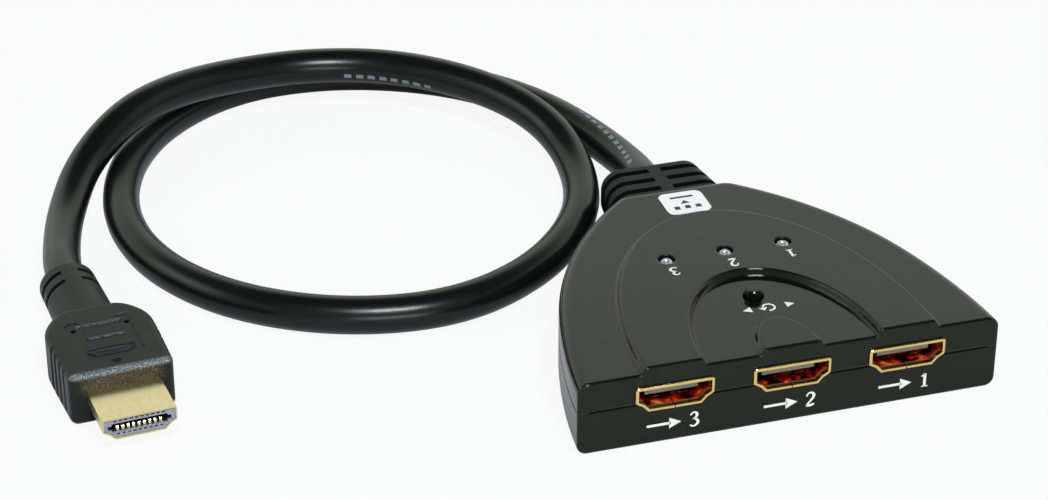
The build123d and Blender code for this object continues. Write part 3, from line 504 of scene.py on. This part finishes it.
# Every material, under the short name that the pieces use
MATERIALS = {
    "case": case_gloss("case_gloss", 0.6 * MM),
    "button": case_gloss("button_gloss", 0.12 * MM),
    "rubber": moulded_rubber(),
    "jacket": cable_jacket(),
    "plug_rubber": plug_rubber(),
    # The rough moulded lines on the plug's grip: pale specks painted in their colour as glints, on top of a
    # rough relief that catches the light
    "plug_glint": grained(
        "plug_glint",
        grain=(3600.0, 2.0, 0.9),
        colours=[(0.48, (0.004, 0.005, 0.005)), (0.66, (0.20, 0.23, 0.24))],
        roughness=(0.20, 0.45),
        relief=(0.8, 0.0003),
        IOR=1.5,
    ),
    "patch": grained(
        "patch_white",
        grain=(900.0, 4.0, 0.6),
        colours=[(0.3, (0.90, 0.90, 0.90)), (0.7, (0.97, 0.97, 0.96))],
        roughness=(0.3, 0.45),
        IOR=1.45,
    ),
    "socket_gold": socket_gold(),
    "tongue_hatch": tongue_hatch(),
    "plug_gold": gold("plug_gold", (0.80, 0.67, 0.35), (0.92, 0.82, 0.50), 0.18, 0.29, (1.0, 0.25, 1.0)),
    "contact_gold": gold("contact_gold", (0.85, 0.72, 0.40), (1.0, 0.88, 0.55), 0.15, 0.25),
    "steel": metal("bright_steel", (0.62, 0.62, 0.64), 0.25, 0.4),
    "tin": metal("tinned_metal", (0.70, 0.70, 0.70), 0.3, 0.45),
    # Painted shade of a small deep hole: near black, with next to no gloss
    "void": grained(
        "void_black",
        grain=(2000.0, 3.0),
        colours=[(0.3, 0.001), (0.7, 0.002)],
        roughness=(0.6, 0.8),
        IOR=1.02,
    ),
    "screw": metal("screw_steel", (0.35, 0.35, 0.37), 0.3, 0.45),
    "socket_black": plastic("socket_black", (0.010, 0.010, 0.010), 0.35, 0.5),
    "silver": metal("lamp_silver", (0.46, 0.52, 0.57), 0.12, 0.24),
    "chip": plastic("chip_black", (0.02, 0.02, 0.021), 0.45, 0.6),
    "tan": plastic("capacitor_tan", (0.40, 0.29, 0.17), 0.4, 0.55),
    "core": plastic("core_insulation", (0.62, 0.62, 0.60), 0.4, 0.55),
    "plug_grey": plug_grey(),
    "premould": plastic("premould_white", (0.72, 0.72, 0.70), 0.4, 0.55),
    # Clear resin with a slight milkiness
    "lamp": grained(
        "lamp_clear",
        grain=(900.0, 3.0),
        colours=[(0.3, (0.86, 0.90, 0.90)), (0.7, (0.94, 0.97, 0.97))],
        roughness=(0.02, 0.06),
        IOR=1.5,
        Transmission_Weight=0.72,
    ),
    "board": grained(
        "board_green",
        grain=(700.0, 5.0),
        colours=[(0.4, (0.008, 0.06, 0.022)), (0.6, (0.012, 0.09, 0.03))],
        roughness=(0.25, 0.4),
        IOR=1.5,
    ),
    "ink": grained(
        "print_ink",
        grain=(3500.0, 4.0, 0.7),
        colours=[(0.25, (0.66, 0.68, 0.65)), (0.6, (0.90, 0.91, 0.88))],
        roughness=(0.45, 0.6),
        IOR=1.45,
    ),
    "cable_ink": grained(
        "cable_ink",
        grain=(4200.0, 4.0, 0.7),
        colours=[(0.35, (0.10, 0.13, 0.15)), (0.65, (0.26, 0.32, 0.36))],
        roughness=(0.4, 0.55),
        IOR=1.45,
    ),
}

# Which material each CAD node wears; nodes with a number share their family's row
NODE_MATERIALS = {
    "top_shell": "case",
    "bottom_shell": "case",
    "main_board": "board",
    "case_screws": "screw",
    "socket_shell": "socket_gold",
    "socket_insulator": "socket_black",
    "socket_contacts": "contact_gold",
    "select_switch_body": "chip",
    "select_switch_cover": "steel",
    "select_switch_terminals": "tin",
    "select_button_stem": "button",
    "select_snap_dome": "steel",
    "indicator_lamp": "lamp",
    "lamp_spacers": "socket_black",
    "lamp_leads": "tin",
    "signal_switch_chip": "chip",
    "signal_switch_chip_leads": "tin",
    "control_chip": "chip",
    "control_chip_leads": "tin",
    "voltage_regulator": "chip",
    "capacitors": "tan",
    "resistors": "chip",
    "strain_relief": "rubber",
    "cable": "jacket",
    "cable_cores": "core",
    "plug_shell": "plug_gold",
    "plug_insulator": "plug_grey",
    "plug_contacts": "contact_gold",
    "plug_premould": "premould",
    "plug_cores": "core",
    "plug_overmould": "plug_rubber",
}


def paint_nodes():
    """Gives every CAD node its material."""
    for name, node in NODES.items():
        family = name if name in NODE_MATERIALS else name.rsplit("_", 1)[0]
        node.data.materials.clear()
        node.data.materials.append(MATERIALS[NODE_MATERIALS[family]])


# Pieces


def link(name, data, material):
    """Makes a piece of a mesh or curve, with its material, and lets it ride on the box."""
    piece = bpy.data.objects.new(name, data)
    bpy.context.scene.collection.objects.link(piece)
    data.materials.append(MATERIALS[material])
    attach(piece, BODY)
    return piece


def smooth(path, widths, steps=6):
    """Points and widths along a smooth line through the given points."""
    if len(path) == 2:
        return [Vector(p) for p in path], list(widths)
    ends = [path[0], *path, path[-1]]
    points = []
    sizes = []
    for i in range(len(path) - 1):
        p0, p1, p2, p3 = (Vector(p) for p in ends[i:i + 4])
        for k in range(steps):
            t = k / steps
            line = (p2 - p0) * t
            square = (2 * p0 - 5 * p1 + 4 * p2 - p3) * t * t
            cube = (3 * p1 - p0 - 3 * p2 + p3) * t ** 3
            points.append(p1 + 0.5 * (line + square + cube))
            sizes.append(widths[i] + t * (widths[i + 1] - widths[i]))
    points.append(Vector(path[-1]))
    sizes.append(widths[-1])
    return points, sizes


class Relief:
    """Thin strokes and plates on a flat face: u to the right, v up and h out of it, in millimetres."""

    def __init__(self, origin, right, up):
        self.origin = Vector(origin)
        self.right = Vector(right)
        self.up = Vector(up)
        self.out = self.right.cross(self.up)
        self.points = []
        self.faces = []

    def place(self, u, v, h):
        """A place in the frame, in metres."""
        return self.origin + MM * (u * self.right + v * self.up + h * self.out)

    def stroke(self, path, widths, rise=INK_RISE, foot=INK_FOOT, flat=0.8):
        """A stroke with sloping sides; flat is the share of its width that is level."""
        points, sizes = smooth(path, widths)
        first = len(self.points)
        for i, point in enumerate(points):
            ahead = points[min(i + 1, len(points) - 1)] - points[max(i - 1, 0)]
            ahead.normalize()
            left = Vector((-ahead.y, ahead.x))
            half = sizes[i] / 2
            for share, height in ((1.0, foot), (flat, rise), (-flat, rise), (-1.0, foot)):
                corner = point + share * half * left
                self.points.append(self.place(corner.x, corner.y, height))
        for i in range(len(points) - 1):
            for k in range(3):
                a = first + 4 * i + k
                self.faces.append((a, a + 1, a + 5, a + 4))

    def plate(self, outline, rise=INK_RISE, foot=INK_FOOT, inset=0.97):
        """A plate with a sloping rim, whose outline runs anticlockwise."""
        middle = sum((Vector(p) for p in outline), Vector((0.0, 0.0))) / len(outline)
        first = len(self.points)
        count = len(outline)
        for share, height in ((1.0, foot), (inset, rise)):
            for p in outline:
                corner = middle + share * (Vector(p) - middle)
                self.points.append(self.place(corner.x, corner.y, height))
        for i in range(count):
            j = (i + 1) % count
            self.faces.append((first + i, first + j, first + count + j, first + count + i))
        self.faces.append(tuple(range(first + count, first + 2 * count)))

    def digit(self, number, u, v, height):
        """A plain digit whose cell has its lower left corner at u, v."""
        for path, widths in DIGITS[number]:
            placed = [(u + height * x, v + height * y) for x, y in path]
            self.stroke(placed, [DIGIT_BOLDNESS * height * w for w in widths])

    def piece(self, name, material, slot):
        """Makes the piece of all that has been drawn."""
        mesh = bpy.data.meshes.new(name)
        mesh.from_pydata([tuple(p) for p in self.points], [], self.faces)
        return link(name, mesh, material)


def arc(centre, radius, start, end, steps):
    """Points on an arc, with its angles in degrees."""
    points = []
    for i in range(steps + 1):
        angle = math.radians(start + (end - start) * i / steps)
        points.append((centre[0] + radius * math.cos(angle), centre[1] + radius * math.sin(angle)))
    return points


def rounded_outline(width, height, corner, steps=6):
    """A rectangle with round corners, anticlockwise from its lower right."""
    u = width / 2 - corner
    v = height / 2 - corner
    outline = []
    for (x, y), start in (((u, -v), -90), ((u, v), 0), ((-u, v), 90), ((-u, -v), 180)):
        outline.extend(arc((x, y), corner, start, start + 90, steps))
    return outline


# Print on the case


def across(number, pitch):
    """How far to the right an input's socket or lamp lies, as they are numbered from the right."""
    return (MIDDLE_INPUT - number) * pitch


def on_lid(origin):
    """A mark on the lid that reads from behind the box."""
    return Relief(origin, (-1, 0, 0), (0, -1, 0))


def make_lid_digits():
    """A plain digit in front of each lamp, read from behind the box."""
    height = LID_DIGIT_HEIGHT
    for number in INPUTS:
        mark = on_lid((across(number, LAMP_PITCH), LAMP_Y - LID_DIGIT_DROP * MM, LAMP_LEVEL))
        mark.digit(number, -DIGIT_MIDDLE_ACROSS * height, -DIGIT_MIDDLE_UP * height, height)
        mark.piece(f"lid_digit_{number}", "ink", "premould_white")


def on_front(origin):
    """A mark that faces the front and reads from there."""
    return Relief(origin, (1, 0, 0), (0, 0, 1))


def make_port_marks():
    """Below each socket a plain digit, and an arrow that points into the box."""
    height = PORT_DIGIT_HEIGHT
    middle = height / 2
    for number in INPUTS:
        marks = on_front((across(number, SOCKET_PITCH), FRONT_Y, PORT_MARK_BASE * MM))
        marks.digit(number, 3.0, 0.0, height)
        marks.stroke([(-5.2, middle), (-0.6, middle)], (0.55, 0.55))
        marks.plate([(-0.9, middle - 1.15), (1.4, middle), (-0.9, middle + 1.15)])
        marks.piece(f"port_mark_{number}", "ink", "premould_white")


def make_select_mark():
    """A ring-shaped arrow between two small triangles: the button steps through the inputs."""
    marks = on_lid(SELECT_MARK_AT)
    ring = arc((0.0, 0.0), 1.12, 75.0, 350.0, 8)
    marks.stroke(ring, [0.42] * len(ring))
    marks.plate([(0.30, -0.10), (1.94, -0.10), (1.12, 0.95)])
    for side in (-1, 1):
        tip = [(side * 3.4, -0.95), (side * 5.1, 0.0), (side * 3.4, 0.95)]
        marks.plate(tip if side > 0 else tip[::-1])
    marks.piece("select_mark", "ink", "premould_white")


def make_patch():
    """The white patch near the back, with a plain picture: three small squares, a triangle and one bar."""
    patch = on_lid(PATCH_AT)
    patch.plate(rounded_outline(*PATCH_SIZE, PATCH_CORNER), rise=PATCH_RISE)
    patch.piece("lid_patch", "patch", "premould_white")
    picture = on_lid((PATCH_AT[0], PATCH_AT[1], PATCH_AT[2] + PATCH_RISE * MM))
    for u in (-2.2, 0.0, 2.2):
        picture.stroke([(u, 2.5), (u, 1.3)], (1.2, 1.2), rise=PICTURE_RISE)
    picture.plate([(-1.0, 0.4), (0.0, -0.9), (1.0, 0.4)], rise=PICTURE_RISE, inset=0.9)
    picture.stroke([(-2.4, -2.2), (2.4, -2.2)], (0.7, 0.7), rise=PICTURE_RISE)
    picture.piece("lid_patch_picture", "case", "case_plastic")


# Small parts seen in the openings


def turned_shape(name, centre, outline, steps, material):
    """A shape turned round a vertical line through centre, from (radius, height) pairs in millimetres."""
    points = []
    faces = []
    for radius, height in outline:
        for i in range(steps):
            angle = 2 * math.pi * i / steps
            offset = Vector((radius * math.cos(angle), radius * math.sin(angle), height))
            points.append(tuple(Vector(centre) + MM * offset))
    for k in range(len(outline) - 1):
        for i in range(steps):
            j = (i + 1) % steps
            faces.append((k * steps + i, k * steps + j, (k + 1) * steps + j, (k + 1) * steps + i))
    mesh = bpy.data.meshes.new(name)
    mesh.from_pydata(points, [], faces)
    for polygon in mesh.polygons:
        polygon.use_smooth = True
    return link(name, mesh, material)


def make_lamp_insides():
    """The silver reflector cup and the square chip in it, seen through each clear lamp."""
    cup = [(1.34, -1.00), (1.30, -0.90), (1.00, -1.02), (0.58, -1.45), (0.05, -1.52)]
    chip = [(0.34, -1.50), (0.30, -1.05), (0.02, -1.00)]
    for number in INPUTS:
        centre = (across(number, LAMP_PITCH), LAMP_Y, LAMP_TOP)
        turned_shape(f"lamp_cup_{number}", centre, cup, 28, "silver")
        turned_shape(f"lamp_chip_{number}", centre, chip, 4, "contact_gold")


def make_tongue_ends():
    """The scored end face of each socket's tongue."""
    u = TONGUE_HALF_WIDTH
    v = TONGUE_HALF_HEIGHT
    for number in INPUTS:
        end = on_front((across(number, SOCKET_PITCH), TONGUE_FRONT - 0.01 * MM, TONGUE_Z))
        end.plate([(-u, -v), (u, -v), (u, v), (-u, v)], rise=0.05, inset=0.99)
        end.piece(f"tongue_end_{number}", "tongue_hatch", "spacer_black")


# Plug


def on_plug(height):
    """A level of the plug: u to its right and v back from its front end."""
    right = (math.cos(PLUG_YAW), math.sin(PLUG_YAW), 0.0)
    back = (-math.sin(PLUG_YAW), math.cos(PLUG_YAW), 0.0)
    return Relief(PLUG_FRONT + Vector((0.0, 0.0, height)), right, back)


def make_plug_marks():
    """The moulded lines, bars and dots on the grip's top, with a plain outline of a port."""
    lines = on_plug(PLUG_TOP)
    lines.stroke([(5.8, 17.6), (5.8, 22.0), (5.8, 29.0), (5.0, 30.1), (3.6, 30.2)], [0.5] * 5, **RIDGE)
    lines.stroke([(-3.3, 23.4), (-3.3, 28.2), (-3.9, 30.0), (-5.2, 30.1), (-6.2, 29.2)], [0.5] * 5, **RIDGE)
    lines.stroke([(-0.8, 14.9), (0.8, 14.9), (0.0, 14.1), (-0.8, 14.9)], [0.3] * 4, **RIDGE)
    port = [(-4.4, 19.7), (4.4, 19.7), (4.4, 18.4), (3.2, 17.3), (-3.2, 17.3), (-4.4, 18.4), (-4.4, 19.7)]
    for start, end in zip(port, port[1:]):
        lines.stroke([start, end], (0.42, 0.42), **RIDGE)
    lines.stroke([(-2.7, 18.7), (2.7, 18.7)], (0.5, 0.5), **RIDGE)
    lines.piece("plug_lines", "plug_rubber", "moulded_rubber")
    bars = on_plug(PLUG_TOP)
    bars.stroke([(-4.4, 28.3), (4.2, 28.3)], (1.1, 1.1), **RIDGE)
    bars.stroke([(-3.3, 23.5), (3.9, 23.5)], (0.8, 0.8), **RIDGE)
    bars.piece("plug_bars", "plug_glint", "moulded_rubber")
    # Flat near-black discs, painted as the shade inside small holes
    dots = on_plug(PLUG_TOP)
    for x in (-5.1, 5.1):
        dots.plate(arc((x, 27.0), 0.52, 0.0, 345.0, 15), rise=DOT_RISE)
    dots.piece("plug_gate_dots", "void", "socket_black")


def make_contact_noses():
    """The bent noses of the lower contacts, seen in the plug's slot."""
    noses = on_plug(PLUG_SLOT_FLOOR)
    half = CONTACT_WIDTH / 2
    # Distance back from the plug's front end, and height above the slot's floor
    profile = [(0.75, 0.05), (0.85, 0.55), (1.15, 0.85), (1.6, 0.80), (2.4, 0.35), (3.2, 0.12)]
    for i in range(CONTACT_COUNT):
        x = CONTACT_PITCH * (i - (CONTACT_COUNT - 1) / 2)
        first = len(noses.points)
        for along, height in profile:
            noses.points.append(noses.place(x - half, along, height))
            noses.points.append(noses.place(x + half, along, height))
        for k in range(len(profile) - 1):
            a = first + 2 * k
            noses.faces.append((a, a + 1, a + 3, a + 2))
    noses.piece("plug_contact_noses", "contact_gold", "contact_gold")


# Cable


def new_route(name):
    """The cable's route as a curve with no thickness."""
    curve = bpy.data.curves.new(name, "CURVE")
    curve.dimensions = "3D"
    spline = curve.splines.new("NURBS")
    spline.points.add(len(CABLE_POINTS) - 1)
    for point, place in zip(spline.points, CABLE_POINTS):
        point.co = (*place, 1.0)
    spline.order_u = 3
    spline.use_endpoint_u = True
    spline.resolution_u = 10
    return curve


def route_points():
    """Places along the cable's middle line, read from its own spline."""
    curve = new_route("route")
    line = bpy.data.objects.new("route", curve)
    mesh = bpy.data.meshes.new_from_object(line)
    points = [v.co.copy() for v in mesh.vertices]
    bpy.data.meshes.remove(mesh)
    bpy.data.objects.remove(line)
    bpy.data.curves.remove(curve)
    return points


def on_jacket(points, distance, angle, radius):
    """The place on the jacket at a distance along the route and an angle from its top, towards its left."""
    travelled = 0.0
    for start, end in zip(points, points[1:]):
        step = (end - start).length
        if travelled + step >= distance:
            ahead = (end - start).normalized()
            side = Vector((0, 0, 1)).cross(ahead).normalized()
            up = ahead.cross(side)
            middle = start + (distance - travelled) * ahead
            turn = math.radians(angle)
            return middle + radius * (math.cos(turn) * up + math.sin(turn) * side)
        travelled += step
    return points[-1]


def make_cable_marks():
    """Plain dashes where the jacket is printed."""
    points = route_points()
    radius = CABLE_RADIUS + INK_RISE * MM
    along = DASH_STEPS_ALONG
    round_it = DASH_STEPS_ROUND
    for name, ((start, end), (angle_0, angle_1)) in CABLE_MARKS.items():
        places = []
        faces = []
        at = start
        while at + DASH_LENGTH < end:
            first = len(places)
            for i in range(along + 1):
                distance = at + DASH_LENGTH * i / along
                middle = angle_0 + (angle_1 - angle_0) * (distance - start) / (end - start)
                for k in range(round_it + 1):
                    angle = middle + DASH_HALF_ANGLE * (2 * k / round_it - 1)
                    places.append(tuple(on_jacket(points, distance, angle, radius)))
            row = round_it + 1
            for i in range(along):
                for k in range(round_it):
                    a = first + row * i + k
                    faces.append((a, a + row, a + row + 1, a + 1))
            at += DASH_LENGTH + DASH_GAP
        mesh = bpy.data.meshes.new(name)
        mesh.from_pydata(places, [], faces)
        link(name, mesh, "cable_ink")


def make_cable():
    """The cable's visible jacket along its route, which ends on the plug's axis; the CAD cable is hidden."""
    curve = new_route("cable_jacket")
    curve.bevel_depth = CABLE_RADIUS
    curve.bevel_resolution = 8
    curve.use_fill_caps = True
    cable = link("cable_jacket", curve, "jacket")
    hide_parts("cable")


# Stage and light


def make_floor():
    """A pale floor that renders as near white and keeps a soft shadow."""
    size = FLOOR_REACH
    mesh = bpy.data.meshes.new("floor")
    corners = [(-size, -size, 0), (size, -size, 0), (size, size, 0), (-size, size, 0)]
    mesh.from_pydata(corners, [], [(0, 1, 2, 3)])
    floor = bpy.data.objects.new("floor", mesh)
    bpy.context.scene.collection.objects.link(floor)
    floor.location.z = -FLOOR_DROP
    material = bpy.data.materials.new("floor_white")
    tree = Tree(material)
    diffuse = tree.add("ShaderNodeBsdfDiffuse", Color=(FLOOR_GREY, FLOOR_GREY, FLOOR_GREY, 1.0))
    glow = tree.add("ShaderNodeEmission", Color=(1.0, 1.0, 1.0, 1.0), Strength=1.0)
    path = tree.add("ShaderNodeLightPath")
    bounced = maths(tree, "MAXIMUM", path.outputs["Is Glossy Ray"], path.outputs["Is Transmission Ray"])
    mirrored = maths(tree, "MULTIPLY", bounced, FLOOR_GLOW_MIRRORED)
    direct = maths(tree, "MULTIPLY", path.outputs["Is Camera Ray"], FLOOR_GLOW_SEEN)
    mix = tree.add("ShaderNodeMixShader")
    tree.join(maths(tree, "MAXIMUM", mirrored, direct), mix.inputs["Fac"])
    tree.join(diffuse.outputs[0], mix.inputs[1])
    tree.join(glow.outputs[0], mix.inputs[2])
    output = tree.add("ShaderNodeOutputMaterial")
    tree.join(mix.outputs[0], output.inputs["Surface"])
    mesh.materials.append(material)


def make_world():
    """A studio: a white backdrop up to half height, dimmer in front, a dark ceiling, white to the camera."""
    world = bpy.data.worlds.new("studio")
    bpy.context.scene.world = world
    tree = Tree(world)
    place = tree.add("ShaderNodeTexCoord")
    split = tree.add("ShaderNodeSeparateXYZ")
    tree.join(place.outputs["Generated"], split.inputs[0])
    room = ramp(tree, split.outputs["Z"], [
        (0.0, (0.95, 0.96, 0.91)),
        (0.58, (0.94, 0.97, 0.89)),
        (0.70, (0.06, 0.065, 0.07)),
        (1.0, (0.03, 0.03, 0.035)),
    ])
    walls = tree.add("ShaderNodeBackground")
    tree.join(room, walls.inputs["Color"])
    behind = ramp_along(tree, split.outputs["Y"], -0.45, 0.15)
    tree.join(spread(tree, behind, 0.35, 1.0), walls.inputs["Strength"])
    white = tree.add("ShaderNodeBackground", Color=(1.0, 1.0, 1.0, 1.0), Strength=1.0)
    path = tree.add("ShaderNodeLightPath")
    mix = tree.add("ShaderNodeMixShader")
    tree.join(path.outputs["Is Camera Ray"], mix.inputs["Fac"])
    tree.join(walls.outputs[0], mix.inputs[1])
    tree.join(white.outputs[0], mix.inputs[2])
    output = tree.add("ShaderNodeOutputWorld")
    tree.join(mix.outputs[0], output.inputs["Surface"])


def make_light(name, place, aim, size, power, colour):
    """A rectangular lamp at a place, turned to face its aim."""
    data = bpy.data.lights.new(name, "AREA")
    data.shape = "RECTANGLE"
    data.size, data.size_y = size
    data.energy = power
    data.color = colour
    light = bpy.data.objects.new(name, data)
    bpy.context.scene.collection.objects.link(light)
    light.location = place
    light.rotation_euler = (Vector(aim) - Vector(place)).to_track_quat("-Z", "Y").to_euler()


def make_stage():
    """The floor, the studio round it, and three lamps: a high key, a low front and a fill from the left."""
    make_floor()
    make_world()
    make_light(
        "key",
        place=(-0.085, -0.56, 0.78),
        aim=(-0.04, 0.04, 0.0),
        size=(0.32, 0.20),
        power=8.0,
        colour=(0.88, 0.94, 1.0),
    )
    make_light(
        "front",
        place=(-0.12, -0.75, 0.13),
        aim=(-0.02, -0.03, 0.01),
        size=(0.40, 0.16),
        power=1.1,
        colour=(1.0, 0.99, 0.96),
    )
    make_light(
        "fill",
        place=(-0.85, 0.25, 0.55),
        aim=(-0.04, 0.04, 0.0),
        size=(0.5, 0.4),
        power=0.8,
        colour=(1.0, 1.0, 1.0),
    )
    bpy.context.scene.view_settings.view_transform = "Standard"


make_camera()
make_cable()
paint_nodes()
make_cable_marks()
make_lid_digits()
make_port_marks()
make_select_mark()
make_patch()
make_lamp_insides()
make_tongue_ends()
make_plug_marks()
make_contact_noses()
make_stage()
